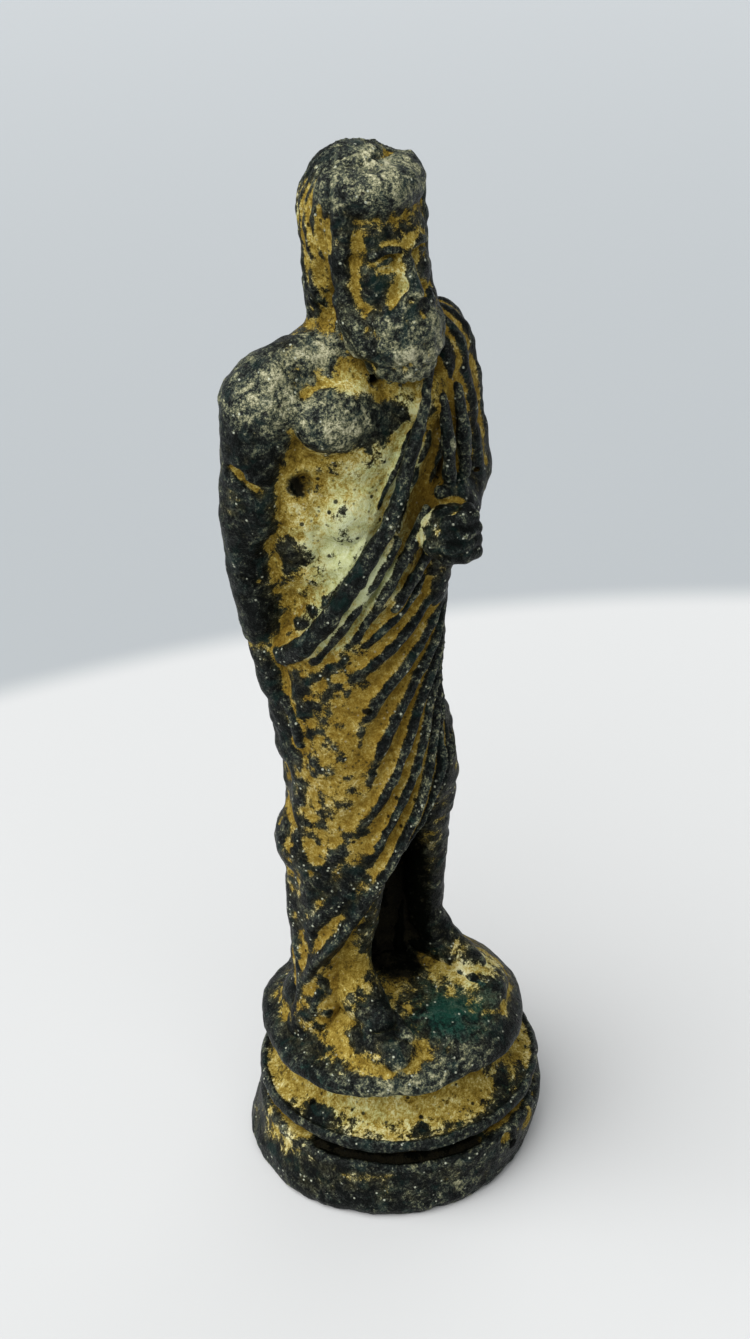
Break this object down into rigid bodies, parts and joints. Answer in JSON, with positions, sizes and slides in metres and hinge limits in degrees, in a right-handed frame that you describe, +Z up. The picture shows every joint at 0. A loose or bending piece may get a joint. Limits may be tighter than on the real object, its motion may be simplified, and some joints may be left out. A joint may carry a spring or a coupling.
{
  "type": "bronze statuette",
  "caption": "Standing bearded man in a mantle, right shoulder bare, on a domed ground plinth over a turned spool and a hollow drum.",
  "frame": {"origin": "centre of the drum's resting face", "axes": "+Z up, the figure faces -Y, its right side is at -X"},
  "size_m": [0.0332, 0.0332, 0.12],
  "materials": {
    "bronze": "near-black green patina, worn grey-brown on high places, ochre soil in low ones",
    "bronze_cloth": "dark patina on the fold crests, ochre soil between them",
    "bronze_base": "dark patina with ochre soil in the mouldings and teal corrosion spots",
    "pins": "dark patina",
    "fixings": "dull bare brass"
  },
  "bodies": {
    "root": {"head": "bronze", "torso": "bronze", "right_arm": "bronze", "left_hand": "bronze", "mantle": "bronze_cloth", "right_leg": "bronze", "left_leg": "bronze", "ground_plinth": "bronze_base", "pedestal_spool": "bronze_base", "base_drum": "bronze_base", "neck_pin": "pins", "shoulder_pin": "pins", "hand_pin": "pins", "centre_stud": "fixings", "stud_washer": "fixings", "stud_nut": "fixings"}
  },
  "joints": []
}
